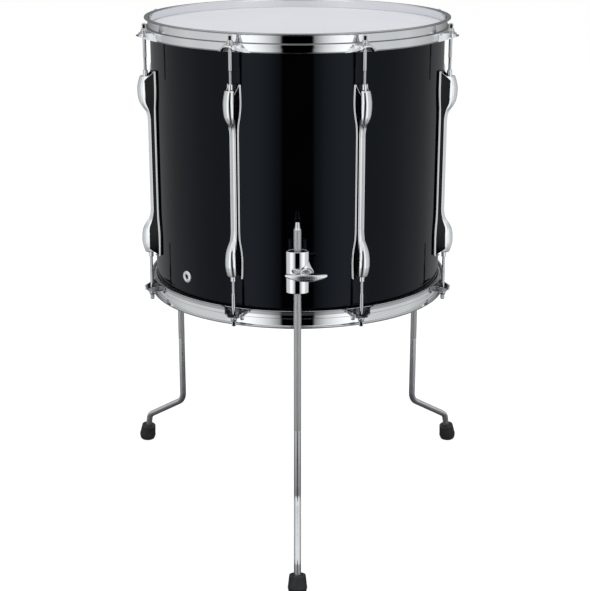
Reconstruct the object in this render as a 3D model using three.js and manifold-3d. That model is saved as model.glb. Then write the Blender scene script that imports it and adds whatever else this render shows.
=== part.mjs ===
// Floor tom: a wooden shell with two heads, chrome hoops, bridge lugs and three sliding legs.
// Millimetres, +Z up, the floor at height zero and the front leg towards -Y.

import * as THREE from "three";
import { mergeVertices } from "three/addons/utils/BufferGeometryUtils.js";
import Module from "manifold-3d";

const wasm = await Module();
wasm.setup();

// Counts and fits
const ringSegments = 48;
const roundSegments = 10;
const smallSegments = 6;
const lugCount = 8;
const fitGap = 0.3;
const drillPlay = 0.8;
const cutOverrun = 2;

// Shell
const shellDiameter = 457.2;
const shellDepth = 406.4;
const shellWall = 6.6;
const bearingEdgeRound = 2;
const bearingEdgeLand = 0.8;
const bottomRimHeight = 372;

// Heads and their flesh hoops
const filmThickness = 0.35;
const fleshHoopWidth = 4.3;
const fleshHoopHeight = 8;
const fleshHoopDrop = 3.5;

// Hoops
const hoopMetal = 2.3;
const hoopRise = 13.9;
const hoopHeight = 27.6;
const hoopTopFlange = 5.4;
const hoopBottomLip = 2.5;
const hoopFlangeRound = 1.4;

// Ears of the hoops
const rodStandoff = 11.7;
const earSeatDrop = 1.3;
const earSeatHalfWidth = 12.5;
const earMouthHalfWidth = 20;
const earSeatReach = 19.5;
const earMouthReach = 22.5;
const earArchRadius = 8;
const earTipShare = 0.7;

// Tension rods
const rodDiameter = 4.8;
const rodHeadSquare = 6.4;
const rodHeadHeight = 10.3;
const rodCollarDiameter = 10;
const rodCollarHeight = 2.2;
const rodWasherDiameter = 12.6;
const rodWasherThickness = 1.5;
const rodEngagement = 17;

// Lugs
const lugBaseLength = 288;
const lugBodyInset = 7;
const lugFlangeThickness = 3.2;
const lugFlangeEndHalfWidth = 9.5;
const lugFlangeCorner = 2.4;
const lugFlangeBulbHalfWidth = 11.1;
const lugFlangeWaistHalfWidth = 4.8;
const lugNeckHalfWidth = 3.95;
const lugBulbHalfWidth = 8.3;
const lugNeckReach = 17.1;
const lugNeckDepth = 8.7;
const lugBulbOverRod = 12.2;
const lugBarrelDiameter = 13.4;
const lugNutDiameter = 7.5;
const lugNutRise = 8.5;
const lugNutSunk = 4;
const lugWebHalfWidth = 3;
const lugWebBulbHalfWidth = 6.2;
const lugWebEndHalfWidth = 8.6;
const lugWebReach = 12.8;
const lugWebBulbReach = 24.4;
const lugEndSlopeRun = 24;
const lugScrewOffset = 104;
const lugBowSides = 6;

// The lug's flange outline from its middle (0) to its end (1): place along the half length, then
// how far the half width has gone from the waist (0) to the bulb (1)
const lugFlangeShares = [
  [0.5, 0],
  [0.62, 0.4],
  [0.73, 0.88],
  [0.84, 1],
];

// The lug's bow from its middle (0) to its end (1): place along the half length, then how far the
// half width and the outer reach have gone from the neck (0) to the bulb (1)
const lugBowShares = [
  [0.49, 0, 0],
  [0.61, 0.18, 0.2],
  [0.72, 0.72, 0.8],
  [0.84, 1, 1],
];

// The lug's web in the same way, between its neck (0) and its bulb (1)
const lugWebShares = [
  [0.48, 0],
];

// Mounting screws
const screwDiameter = 4.8;
const screwHeadDiameter = 12;
const screwHeadHeight = 4;

// Leg brackets
const legAngles = { front: 0, right: 127.5, left: -127.5 };
const legTwists = { front: 0, right: 3, left: -3 };
const legStandoff = 31.4;
const barrelWidth = 33.6;
const barrelDepth = 21;
const barrelWall = 2.2;
const barrelHeight = 64.6;
const barrelEdgeRound = 1.4;
const barrelAboveEdge = 50.5;
const gripHeight = 42;
const seamGap = 0.6;
const neckWidth = 24;
const neckHeight = 46;
const padWidth = 32;
const padHeight = 62;
const padThickness = 4;
const padRound = 8;
const padRoundShare = 0.3;
const padScrewOffset = 22;

// The wing bolt's place in a bracket, its boss in front and its anchor behind
const boltOffset = 12.6;
const boltDrop = 2.3;
const boltDiameter = 8;
const bossReach = 14;
const bossHalfWidth = 11.7;
const bossGusset = 17.4;
const bossFoot = 6.4;
const anchorDiameter = 17;
const anchorDepth = 12;

// The boss outline from the bolt's axis: shares of the half width, then of the gusset or the foot
const bossUpperShares = [
  [0.42, 1],
  [0.68, 0.66],
  [0.92, 0.42],
  [1, 0.2],
];
const bossLowerShares = [
  [1, 0.55],
  [0.8, 1],
];

// Wing bolts
const wingSpan = 60.4;
const wingRootThickness = 11.5;
const wingTipThickness = 5;
const wingTipRise = 2.4;
const wingDepth = 11;
const wingHubDiameter = 15;
const wingHubLength = 16;
const wingCollarDiameter = 18;
const wingCollarHeight = 2;
const wingBlendShare = 0.55;
const wingBlendThicknessShare = 0.62;
const wingBlendRiseShare = 0.34;

// Legs
const legDiameter = 11;
const legPolishedDiameter = 10.7;
const legTipDiameter = 6.1;
const legTipShoulderDiameter = 7.7;
const legTipLength = 8.2;
const legTipChamfer = 2.6;
const legTopHeight = 541.9;
const legKnurlLength = 322;
const legBendHeight = 102.2;
const legKneeHeight = 49.5;
const legKneeReach = 88;
const legEndReach = 92.3;
const legUpperBendRadius = 22;
const legLowerBendRadius = 15;
const legBendSegments = 3;

// Rubber feet
const footHeight = 28;
const footDiameter = 29.6;
const footTopDiameter = 24.6;
const footSoleDiameter = 19;
const footSoleRound = 4.6;
const footTopRound = 1.8;
const footSocketDepth = 19;
const footSunk = 1;
const footWaistShare = 0.7;

// Air vent
const ventAngle = -47.3;
const ventAboveEdge = 42.5;
const ventFlangeDiameter = 18.6;
const ventFlangeThickness = 2.4;
const ventFlangeRound = 0.8;
const ventBarrelDiameter = 10.4;
const ventBoreDiameter = 6.8;
const ventCrownShare = 0.4;
const ventRolledShare = 0.6;

// Sizes that follow from the ones above
const shellRadius = shellDiameter / 2;
const shellInnerRadius = shellRadius - shellWall;
const shellHalf = shellDepth / 2;
const facetShare = Math.cos(Math.PI / ringSegments);
const seatRadius = shellRadius + fitGap;
const filmOuterRadius = seatRadius + filmThickness;
const hoopWallInnerRadius = filmOuterRadius + fitGap;
const fleshHoopOuterRadius = seatRadius + fleshHoopWidth;
const hoopWallOuterRadius = hoopWallInnerRadius + hoopMetal;
const hoopBandInnerRadius = fleshHoopOuterRadius + fitGap;
const hoopBandOuterRadius = hoopBandInnerRadius + hoopMetal;
const rimHeight = shellHalf + hoopRise;
const hoopLipHeight = rimHeight - hoopHeight;
const hoopStepUnder = shellHalf - fleshHoopDrop + fitGap;
const hoopStepTop = hoopStepUnder + hoopMetal;
const earSeatHeight = hoopStepTop - earSeatDrop;
const rodCircleRadius = hoopBandOuterRadius + rodStandoff;
const rodReach = rodCircleRadius - shellRadius;
const lugBaseHalf = lugBaseLength / 2;
const lugBodyHalf = lugBaseHalf - lugBodyInset;
const legCircleRadius = shellRadius + legStandoff;
const legBoreDiameter = (legDiameter + 2 * fitGap) / Math.cos(Math.PI / roundSegments);
const bracketHeight = barrelAboveEdge + barrelHeight / 2 - shellHalf;
const shellCentreHeight = bottomRimHeight + rimHeight;
const legEndLean = Math.atan2(legEndReach - legKneeReach, legKneeHeight - footHeight);

// Materials
const paint = (color, roughness, metalness) => new THREE.MeshStandardMaterial({ color, roughness, metalness });
const lacquer = () => paint(0x0b0b0d, 0.12, 0);
const chrome = () => paint(0xd6d8da, 0.08, 1);
const brushedChrome = () => paint(0xb4b6b8, 0.35, 1);
const whiteFilm = () => paint(0xe2e3ea, 0.55, 0);
const clearFilm = () => paint(0xc9cdd2, 0.2, 0);
const aluminium = () => paint(0xa9abad, 0.4, 1);
const rubber = () => paint(0x18181a, 0.8, 0);

// Joins the shared corners of a closed mesh and turns it into a solid that can be cut
function solidOf(geometry) {
  const bare = geometry.clone();
  bare.deleteAttribute("normal");
  bare.deleteAttribute("uv");
  const merged = mergeVertices(bare);
  const corners = merged.index.array;
  const kept = [];
  for (let i = 0; i < corners.length; i += 3) {
    const [a, b, c] = [corners[i], corners[i + 1], corners[i + 2]];
    if (a !== b && b !== c && c !== a) kept.push(a, b, c);
  }
  const mesh = new wasm.Mesh({
    numProp: 3,
    vertProperties: new Float32Array(merged.attributes.position.array),
    triVerts: new Uint32Array(kept),
  });
  return new wasm.Manifold(mesh);
}

// The surface of a solid
function surfaceOf(solid) {
  const mesh = solid.getMesh();
  const geometry = new THREE.BufferGeometry();
  geometry.setAttribute("position", new THREE.BufferAttribute(mesh.vertProperties, 3));
  geometry.setIndex(new THREE.BufferAttribute(mesh.triVerts, 1));
  geometry.computeVertexNormals();
  return geometry;
}

const joined = (solids) => solids.reduce((whole, piece) => whole.add(piece));
const without = (solid, cutters) => solid.subtract(joined(cutters));
const radians = (degrees) => THREE.MathUtils.degToRad(degrees);
const mix = (from, to, share) => from + (to - from) * share;

// Twice the area that an outline of [x, y] points encloses, positive when it runs anticlockwise
function turnOf(outline) {
  return outline.reduce((sum, [x, y], i) => {
    const [nextX, nextY] = outline[(i + 1) % outline.length];
    return sum + x * nextY - nextX * y;
  }, 0);
}

// A ring about the Z axis from a closed outline of [radius, height] points
function ring(outline, segments = ringSegments) {
  const turned = turnOf(outline) > 0 ? outline : [...outline].reverse();
  const points = [...turned, turned[0]].map(([radius, height]) => new THREE.Vector2(radius, height));
  return new THREE.LatheGeometry(points, segments).rotateX(radians(90));
}

// A turned solid about the Z axis from an outline that starts and ends on the axis, lowest first
function turning(outline, segments = roundSegments) {
  const points = outline.map(([radius, height]) => new THREE.Vector2(radius, height));
  return new THREE.LatheGeometry(points, segments).rotateX(radians(90));
}

// A straight round bar along Z between two heights
function uprightBar(diameter, low, high, segments = roundSegments) {
  const bar = new THREE.CylinderGeometry(diameter / 2, diameter / 2, high - low, segments);
  return bar.rotateX(radians(90)).translate(0, 0, (low + high) / 2);
}

// A straight round bar along Y between two distances out from the drum's or the leg's axis
function outwardBar(diameter, near, far, segments = roundSegments) {
  const bar = new THREE.CylinderGeometry(diameter / 2, diameter / 2, far - near, segments);
  return bar.translate(0, -(near + far) / 2, 0);
}

// A plate whose outline of [across, up] points faces outwards, between two distances out
function outwardPlate(outline, near, far) {
  const shape = new THREE.Shape(outline.map(([across, up]) => new THREE.Vector2(across, up)));
  const plate = new THREE.ExtrudeGeometry(shape, { depth: far - near, bevelEnabled: false });
  return plate.rotateX(radians(90)).translate(0, -near, 0);
}

// A skin through rings of points of equal count, closed by a fan at each end
function loft(rings) {
  const count = rings[0].length;
  const positions = rings.flat().flatMap((point) => point.toArray());
  const triangles = [];
  for (let row = 0; row + 1 < rings.length; row += 1) {
    for (let i = 0; i < count; i += 1) {
      const next = (i + 1) % count;
      const [a, b] = [row * count + i, row * count + next];
      triangles.push(a, b, b + count, a, b + count, a + count);
    }
  }
  const last = (rings.length - 1) * count;
  for (let i = 1; i + 1 < count; i += 1) {
    triangles.push(0, i + 1, i);
    triangles.push(last, last + i, last + i + 1);
  }
  const geometry = new THREE.BufferGeometry();
  geometry.setAttribute("position", new THREE.Float32BufferAttribute(positions, 3));
  geometry.setIndex(triangles);
  geometry.computeVertexNormals();
  return geometry;
}

// A box between two corners
function block(low, high) {
  const size = high.map((value, i) => value - low[i]);
  const middle = high.map((value, i) => (value + low[i]) / 2);
  return new THREE.BoxGeometry(...size).translate(...middle);
}

// A full cylinder with the shell's facets, for the curved backs of what is fastened to the shell
function shellCore(radius, halfHeight) {
  return turning([[0, -halfHeight], [radius, -halfHeight], [radius, halfHeight], [0, halfHeight]], ringSegments);
}

// A mounting screw at the front of the drum: its head inside the shell, its shaft out to shaftEnd
function mountingScrew(shaftEnd, height) {
  const headOut = shellInnerRadius * facetShare - fitGap;
  const [head, shaft] = [screwHeadDiameter / 2, screwDiameter / 2];
  const outline = [
    [0, headOut - screwHeadHeight],
    [head, headOut - screwHeadHeight],
    [head, headOut],
    [shaft, headOut],
    [shaft, shaftEnd],
    [0, shaftEnd],
  ];
  return solidOf(turning(outline, smallSegments).rotateX(radians(90))).translate([0, 0, height]);
}

// Where the lugs stand, counted from the right of the front leg
const lugAngles = Array.from({ length: lugCount }, (_, i) => ((i + 0.5) * 360) / lugCount);

// The shell, drilled for the lug screws, the bracket screws and the vent
function shellSolid() {
  const landRadius = shellRadius - bearingEdgeRound;
  const bevelRadius = landRadius - bearingEdgeLand;
  const bevelDrop = bevelRadius - shellInnerRadius;
  const edge = [
    [shellRadius, shellHalf - bearingEdgeRound],
    [landRadius, shellHalf],
    [bevelRadius, shellHalf],
    [shellInnerRadius, shellHalf - bevelDrop],
  ];
  const mirrored = edge.map(([radius, height]) => [radius, -height]).reverse();
  const holes = [];
  const drill = (diameter, angle, height) => {
    const [near, far] = [shellInnerRadius - cutOverrun, shellRadius + cutOverrun];
    const bar = outwardBar(diameter + 2 * drillPlay, near, far, smallSegments);
    holes.push(solidOf(bar).translate([0, 0, height]).rotate([0, 0, angle]));
  };
  for (const side of [-1, 1]) {
    lugAngles.forEach((angle) => drill(screwDiameter, angle, side * lugScrewOffset));
    Object.values(legAngles).forEach((angle) => drill(screwDiameter, angle, bracketHeight + side * padScrewOffset));
  }
  drill(ventBarrelDiameter, ventAngle, ventAboveEdge - shellHalf);
  return without(solidOf(ring([...edge, ...mirrored])), holes);
}

// A drum head: a flat film over the bearing edge
function headFilm() {
  const under = shellHalf + fitGap;
  const top = under + filmThickness;
  return turning([[0, under], [filmOuterRadius, under], [filmOuterRadius, top], [0, top]], ringSegments);
}

// The flesh hoop: the ring at the film's edge that the drum hoop pulls down
function fleshHoop() {
  const top = shellHalf - fleshHoopDrop;
  const low = top - fleshHoopHeight;
  const outer = fleshHoopOuterRadius;
  return ring([[seatRadius, low], [outer, low], [outer, top], [seatRadius, top]]);
}

// The section of a triple flanged hoop: top flange, wall, step over the flesh hoop, band and lip
function hoopSection() {
  const flangeTip = hoopWallOuterRadius + hoopTopFlange;
  const lipTip = hoopBandOuterRadius + hoopBottomLip;
  return [
    [hoopBandInnerRadius, hoopLipHeight],
    [lipTip, hoopLipHeight],
    [hoopBandOuterRadius, hoopLipHeight + hoopMetal],
    [hoopBandOuterRadius, hoopStepTop],
    [hoopWallOuterRadius, hoopStepTop],
    [hoopWallOuterRadius, rimHeight - hoopMetal - hoopFlangeRound],
    [flangeTip, rimHeight - hoopMetal],
    [flangeTip, rimHeight],
    [hoopWallInnerRadius, rimHeight],
    [hoopWallInnerRadius, hoopStepUnder],
    [hoopBandInnerRadius, hoopStepUnder],
  ];
}

// A pressed cowl between a wide mouth at the lip and a narrow seat, thinner than its outside by skin
function earCowl(skin, low) {
  const root = hoopBandOuterRadius - hoopMetal / 2;
  const layer = (halfWidth, reach, height) => {
    const tip = halfWidth * earTipShare;
    const out = hoopBandOuterRadius + reach;
    const corners = [[-tip, out], [tip, out], [halfWidth, root], [-halfWidth, root]];
    return corners.map(([across, near]) => new THREE.Vector3(across, -near, height));
  };
  return solidOf(loft([
    layer(earMouthHalfWidth - skin, earMouthReach - skin, low),
    layer(earSeatHalfWidth - skin, earSeatReach - skin, earSeatHeight - skin),
  ]));
}

// One ear: the cowl, open below, with an arch in its front and a hole for the tension rod
function ear() {
  const band = solidOf(shellCore(hoopBandOuterRadius, rimHeight));
  const inside = earCowl(hoopMetal, hoopLipHeight - cutOverrun).subtract(band);
  const archEnd = rodCircleRadius + earMouthReach;
  const archBar = outwardBar(2 * earArchRadius, rodCircleRadius, archEnd, smallSegments);
  const holeBar = uprightBar(rodDiameter + 2 * drillPlay, hoopLipHeight, rimHeight, smallSegments);
  const cuts = [
    inside,
    solidOf(archBar).translate([0, 0, hoopLipHeight]),
    solidOf(holeBar).translate([0, -rodCircleRadius, 0]),
  ];
  return { cowl: earCowl(0, hoopLipHeight), cuts };
}

// A hoop with its ears, as it sits on the upper head
function hoopSolid() {
  const { cowl, cuts } = ear();
  const cowls = lugAngles.map((angle) => cowl.rotate([0, 0, angle]));
  const cutters = lugAngles.flatMap((angle) => cuts.map((cut) => cut.rotate([0, 0, angle])));
  return without(joined([solidOf(ring(hoopSection())), ...cowls]), cutters);
}

// An outline mirrored left and right and up and down from its upper right quarter
function mirroredOutline(quarter) {
  const upper = [...quarter, ...quarter.map(([x, z]) => [-x, z]).reverse()];
  return [...upper, ...upper.map(([x, z]) => [-x, -z])];
}

// The lug's flange outline, widest at the bulbs and drawn in at the waist
function lugFlangeOutline() {
  const quarter = lugFlangeShares.map(([along, width]) => [
    mix(lugFlangeWaistHalfWidth, lugFlangeBulbHalfWidth, width),
    lugBaseHalf * along,
  ]);
  quarter.push([lugFlangeEndHalfWidth, lugBaseHalf - lugFlangeCorner]);
  quarter.push([lugFlangeEndHalfWidth - lugFlangeCorner, lugBaseHalf]);
  return mirroredOutline(quarter);
}

// Stations towards the lug's upper end, completed with their mirror images below
const bothEnds = (half) => [...half.map(([along, ...rest]) => [-along, ...rest]).reverse(), ...half];

// The bow: the lug's bright outer form, thin in the middle and swollen at both ends
function lugBow() {
  const barrelRadius = lugBarrelDiameter / 2;
  const half = lugBowShares.map(([along, width, reach]) => {
    const inner = mix(lugNeckReach - lugNeckDepth, rodReach - barrelRadius, reach);
    const outer = mix(lugNeckReach, rodReach + lugBulbOverRod, reach);
    return [lugBodyHalf * along, mix(lugNeckHalfWidth, lugBulbHalfWidth, width), inner, outer];
  });
  half.push([lugBodyHalf, barrelRadius, rodReach - barrelRadius, rodReach + barrelRadius]);
  const section = ([height, width, inner, outer]) =>
    Array.from({ length: lugBowSides }, (_, i) => {
      const turn = (i * 2 * Math.PI) / lugBowSides;
      const out = mix(inner, outer, (1 + Math.cos(turn)) / 2);
      return new THREE.Vector3(width * Math.sin(turn), -(shellRadius + out), height);
    });
  return loft(bothEnds(half).map(section));
}

// The web between the flange and the bow, with sloping ends
function lugWeb() {
  const half = lugWebShares.map(([along, share]) => [
    lugBaseHalf * along,
    mix(lugWebHalfWidth, lugWebBulbHalfWidth, share),
    mix(lugWebReach, lugWebBulbReach, share),
  ]);
  half.push([lugBaseHalf - lugEndSlopeRun, lugWebBulbHalfWidth, lugWebBulbReach]);
  half.push([lugBaseHalf, lugWebEndHalfWidth, lugFlangeThickness]);
  const section = ([height, width, reach]) =>
    [[-width, 0], [-width, reach], [width, reach], [width, 0]]
      .map(([across, out]) => new THREE.Vector3(across, -(shellRadius + out), height));
  return loft(bothEnds(half).map(section));
}

// A bridge lug with its two swivel nuts and its two mounting screws
function lugSolid() {
  const flange = outwardPlate(lugFlangeOutline(), shellRadius - cutOverrun, seatRadius + lugFlangeThickness);
  const back = solidOf(shellCore(seatRadius, lugBaseLength));
  const casting = without(joined([solidOf(flange), solidOf(lugWeb()), solidOf(lugBow())]), [back]);
  const nutEnd = lugBodyHalf + lugNutRise;
  const boreDiameter = rodDiameter + 2 * drillPlay;
  const nut = uprightBar(lugNutDiameter, lugBodyHalf - lugNutSunk, nutEnd, smallSegments);
  const bore = uprightBar(boreDiameter, nutEnd - rodEngagement - fitGap, nutEnd + cutOverrun, smallSegments);
  const atRod = (geometry) => solidOf(geometry).translate([0, -rodCircleRadius, 0]);
  const atBothEnds = (solid) => [solid, solid.rotate([0, 180, 0])];
  const screws = [-1, 1].map((side) => mountingScrew(seatRadius + lugFlangeThickness / 2, side * lugScrewOffset));
  return without(joined([casting, ...atBothEnds(atRod(nut)), ...screws]), atBothEnds(atRod(bore)));
}

// A tension rod with its washer, collar and square head, for the upper hoop
function rodSolid() {
  const washerLow = earSeatHeight + fitGap;
  const collarLow = washerLow + rodWasherThickness;
  const headLow = collarLow + rodCollarHeight;
  const rodLow = lugBodyHalf + lugNutRise - rodEngagement;
  const rodRadius = rodDiameter / 2;
  const stem = turning(
    [
      [0, rodLow],
      [rodRadius, rodLow],
      [rodRadius, washerLow],
      [rodWasherDiameter / 2, washerLow],
      [rodWasherDiameter / 2, collarLow],
      [rodCollarDiameter / 2, headLow],
      [0, headLow],
    ],
    smallSegments,
  );
  const halfSquare = rodHeadSquare / 2;
  const head = block([-halfSquare, -halfSquare, headLow - fitGap], [halfSquare, halfSquare, headLow + rodHeadHeight]);
  return joined([solidOf(stem), solidOf(head)]);
}

// An upright oval solid from an outline of [inset from the barrel's side, height], lowest first
function ovalBarrel(outline) {
  const [across, deep] = [barrelWidth / 2, barrelDepth / 2];
  const layers = outline.map(([inset, height]) =>
    Array.from({ length: roundSegments }, (_, i) => {
      const turn = (i * 2 * Math.PI) / roundSegments;
      return new THREE.Vector3((across - inset) * Math.sin(turn), -(deep - inset) * Math.cos(turn), height);
    }));
  return solidOf(loft(layers));
}

// The barrel of a leg bracket: an oval casting, hollow at both ends, with a grip round the leg
function barrelSolid() {
  const half = barrelHeight / 2;
  const grip = gripHeight / 2;
  const outer = ovalBarrel([
    [barrelEdgeRound, -half],
    [0, barrelEdgeRound - half],
    [0, half - barrelEdgeRound / 2],
    [barrelEdgeRound / 2, half],
  ]);
  return without(outer, [
    ovalBarrel([[barrelWall, grip], [barrelWall, half + cutOverrun]]),
    ovalBarrel([[barrelWall, -half - cutOverrun], [barrelWall, -grip]]),
  ]);
}

// What passes through a bracket: the leg's bore and the wing bolt's bore
function bracketBores() {
  const legBar = uprightBar(legBoreDiameter, -padHeight, padHeight);
  const [boltEnd, mouth] = [cutOverrun - anchorDepth, bossReach + cutOverrun];
  const boltBar = outwardBar(boltDiameter + 2 * drillPlay, boltEnd, mouth);
  return [solidOf(legBar), solidOf(boltBar).translate([boltOffset, 0, -boltDrop])];
}

// The half space in front of the leg's axis or behind it, clear of the seam
function halfSpace(inFront) {
  const near = inFront ? -padHeight : seamGap / 2;
  const far = inFront ? -seamGap / 2 : padHeight;
  return solidOf(block([-padHeight, near, -padHeight], [padHeight, far, padHeight]));
}

// The bracket pad's rounded outline
function padOutline() {
  const [width, height] = [padWidth / 2, padHeight / 2];
  const cornerIn = padRound * padRoundShare;
  return mirroredOutline([[width, height - padRound], [width - cornerIn, height - cornerIn], [width - padRound, height]]);
}

// The fixed half of a leg bracket: pad, neck, rear half of the barrel, bolt anchor and screws
function bracketSolid() {
  const padBack = legCircleRadius - seatRadius;
  const neck = block([-neckWidth / 2, 0, -neckHeight / 2], [neckWidth / 2, padBack, neckHeight / 2]);
  const pad = outwardPlate(padOutline(), -padBack - cutOverrun, padThickness - padBack);
  const anchor = outwardBar(anchorDiameter, -anchorDepth, 0).translate(boltOffset, 0, -boltDrop);
  const casting = without(joined([barrelSolid(), solidOf(neck), solidOf(anchor)]), bracketBores());
  const back = solidOf(shellCore(seatRadius, shellDepth)).translate([0, legCircleRadius, 0]);
  const body = without(joined([casting.intersect(halfSpace(false)), solidOf(pad)]), [back]);
  const screws = [-1, 1].map((side) =>
    mountingScrew(seatRadius + padThickness / 2, side * padScrewOffset).translate([0, legCircleRadius, 0]));
  return joined([body, ...screws]).translate([0, -legCircleRadius, bracketHeight]);
}

// The boss round the wing bolt: a gusset above, a short foot below
function bossOutline() {
  const upper = bossUpperShares.map(([x, z]) => [boltOffset + bossHalfWidth * x, bossGusset * z - boltDrop]);
  const lower = bossLowerShares.map(([x, z]) => [boltOffset + bossHalfWidth * x, -bossFoot * z - boltDrop]);
  return [[0, bossGusset - boltDrop], ...upper, ...lower, [0, -bossFoot - boltDrop]].reverse();
}

// The clamping half of a leg bracket: front half of the barrel with the bolt's boss
function jawSolid() {
  const boss = outwardPlate(bossOutline(), 0, bossReach);
  return without(joined([barrelSolid(), solidOf(boss)]), bracketBores())
    .intersect(halfSpace(true))
    .translate([0, -legCircleRadius, bracketHeight]);
}

// The wing bolt: screw, collar, hub and two swept wings
function wingBoltSolid() {
  const seat = bossReach + fitGap;
  const hubEnd = seat + wingHubLength;
  const tip = wingSpan / 2;
  const [root, tipHalf] = [wingRootThickness / 2, wingTipThickness / 2];
  const blend = tip * wingBlendShare;
  const blendHalf = root * wingBlendThicknessShare;
  const blendRise = wingTipRise * wingBlendRiseShare;
  const right = [
    [0, -root],
    [blend, blendRise - blendHalf],
    [tip, wingTipRise - tipHalf],
    [tip, wingTipRise + tipHalf],
    [blend, blendRise + blendHalf],
    [0, root],
  ];
  const left = right.slice(1, -1).map(([x, z]) => [-x, z]).reverse();
  const wings = outwardPlate([...right, ...left], hubEnd - wingDepth, hubEnd);
  const screw = outwardBar(boltDiameter, cutOverrun + fitGap - anchorDepth, seat + wingCollarHeight);
  const collar = outwardBar(wingCollarDiameter, seat, seat + wingCollarHeight);
  const hub = outwardBar(wingHubDiameter, seat + wingCollarHeight / 2, hubEnd);
  return joined([wings, screw, collar, hub].map(solidOf))
    .translate([boltOffset, -legCircleRadius, bracketHeight - boltDrop]);
}

// The bent line of a leg as stations of reach, height, lean from upright and diameter, foot first
function legStations() {
  const knee = [legKneeReach, legKneeHeight];
  const runLean = Math.atan2(legKneeReach, legBendHeight - legKneeHeight);
  const bend = (corner, leanBefore, leanAfter, radius) => {
    const turn = leanAfter - leanBefore;
    const tangent = radius * Math.tan(Math.abs(turn) / 2);
    const side = Math.sign(turn);
    const [across, along] = [side * radius * Math.cos(leanBefore), side * radius * Math.sin(leanBefore)];
    const middle = [
      corner[0] - tangent * Math.sin(leanBefore) + across,
      corner[1] + tangent * Math.cos(leanBefore) + along,
    ];
    return Array.from({ length: legBendSegments + 1 }, (_, i) => {
      const lean = leanBefore + (turn * i) / legBendSegments;
      const reach = middle[0] - side * radius * Math.cos(lean);
      const height = middle[1] - side * radius * Math.sin(lean);
      return [reach, height, lean, legPolishedDiameter];
    });
  };
  const shoulder = legTopHeight - legTipLength;
  const knurlTop = shoulder - legTipChamfer;
  const knurlLow = legTopHeight - legKnurlLength;
  const socketFloor = footSocketDepth - fitGap;
  const endReach = legEndReach + socketFloor * Math.sin(legEndLean);
  const endHeight = footHeight - socketFloor * Math.cos(legEndLean);
  const stations = [
    [0, legTopHeight, 0, legTipDiameter],
    [0, shoulder, 0, legTipShoulderDiameter],
    [0, knurlTop, 0, legDiameter],
    [0, knurlLow, 0, legDiameter],
    [0, knurlLow - fitGap, 0, legPolishedDiameter],
    ...bend([0, legBendHeight], 0, runLean, legUpperBendRadius),
    ...bend(knee, runLean, legEndLean, legLowerBendRadius),
    [endReach, endHeight, legEndLean, legPolishedDiameter],
  ];
  return stations.reverse();
}

// One leg, a bent rod in the plane that runs out from its upright axis
function legGeometry() {
  const rings = legStations().map(([reach, height, lean, diameter]) =>
    Array.from({ length: roundSegments }, (_, i) => {
      const turn = (i * 2 * Math.PI) / roundSegments;
      const across = (diameter / 2) * Math.sin(turn);
      const out = (diameter / 2) * Math.cos(turn);
      return new THREE.Vector3(across, -(reach + out * Math.cos(lean)), height + out * Math.sin(lean));
    }));
  return loft(rings);
}

// A rubber foot on the leaning end of a leg, worn flat where it stands on the floor
function footSolid() {
  const widest = footDiameter / 2;
  const top = footTopDiameter / 2;
  const sole = footSoleDiameter / 2;
  const socket = legPolishedDiameter / 2 + fitGap;
  const outline = [
    [0, -footHeight - footSunk],
    [sole, -footHeight - footSunk],
    [widest - footTopRound, -footHeight + footSoleRound],
    [widest, -footHeight + 2 * footSoleRound],
    [mix(top, widest, footWaistShare), -footHeight / 2],
    [top, -footTopRound],
    [top - footTopRound, 0],
    [socket + footTopRound, -footTopRound],
    [socket, -footTopRound],
    [socket, -footSocketDepth],
    [0, -footSocketDepth],
  ];
  const far = legCircleRadius;
  const ground = block([-far, -far, -footHeight], [far, far, 0]);
  return solidOf(turning(outline).rotateX(-legEndLean))
    .translate([0, -legEndReach, footHeight])
    .subtract(solidOf(ground));
}

// The air vent: a domed flange outside, a barrel through the shell and a rolled flange inside
function ventSolid() {
  const [bore, barrel, flange] = [ventBoreDiameter / 2, ventBarrelDiameter / 2, ventFlangeDiameter / 2];
  const inside = shellInnerRadius * facetShare - fitGap;
  const face = seatRadius + ventFlangeThickness;
  const rolled = mix(barrel, flange, ventRolledShare);
  const outline = [
    [bore, inside - ventFlangeThickness],
    [rolled, inside - ventFlangeThickness],
    [rolled, inside],
    [barrel, inside],
    [barrel, seatRadius],
    [flange, seatRadius],
    [flange - ventFlangeRound, face - ventFlangeRound],
    [mix(bore, flange, ventCrownShare), face],
    [bore, face - ventFlangeRound],
  ];
  const turned = solidOf(ring(outline, roundSegments).rotateX(radians(90)));
  return turned.translate([0, 0, ventAboveEdge - shellHalf]);
}

const floorTom = new THREE.Group();
const drum = new THREE.Group();
drum.position.z = shellCentreHeight;
floorTom.add(drum);

// Adds a named piece to a group, turned about the drum's axis
function addPiece(parent, name, geometry, material, angle = 0) {
  const piece = new THREE.Mesh(geometry, material);
  piece.name = name;
  piece.rotation.z = radians(angle);
  parent.add(piece);
  return piece;
}

// Turns a piece modelled for the upper head over, for the lower head
function turnedOver(piece) {
  piece.rotation.x = Math.PI;
}

addPiece(drum, "shell", surfaceOf(shellSolid()), lacquer());
const hoopSurface = surfaceOf(hoopSolid());
for (const [side, film] of [["batter", whiteFilm], ["resonant", clearFilm]]) {
  const pieces = [
    addPiece(drum, `${side}_head`, surfaceOf(solidOf(headFilm())), film()),
    addPiece(drum, `${side}_flesh_hoop`, fleshHoop(), aluminium()),
    addPiece(drum, `${side}_hoop`, hoopSurface, chrome()),
  ];
  if (side === "resonant") pieces.forEach(turnedOver);
}

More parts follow.
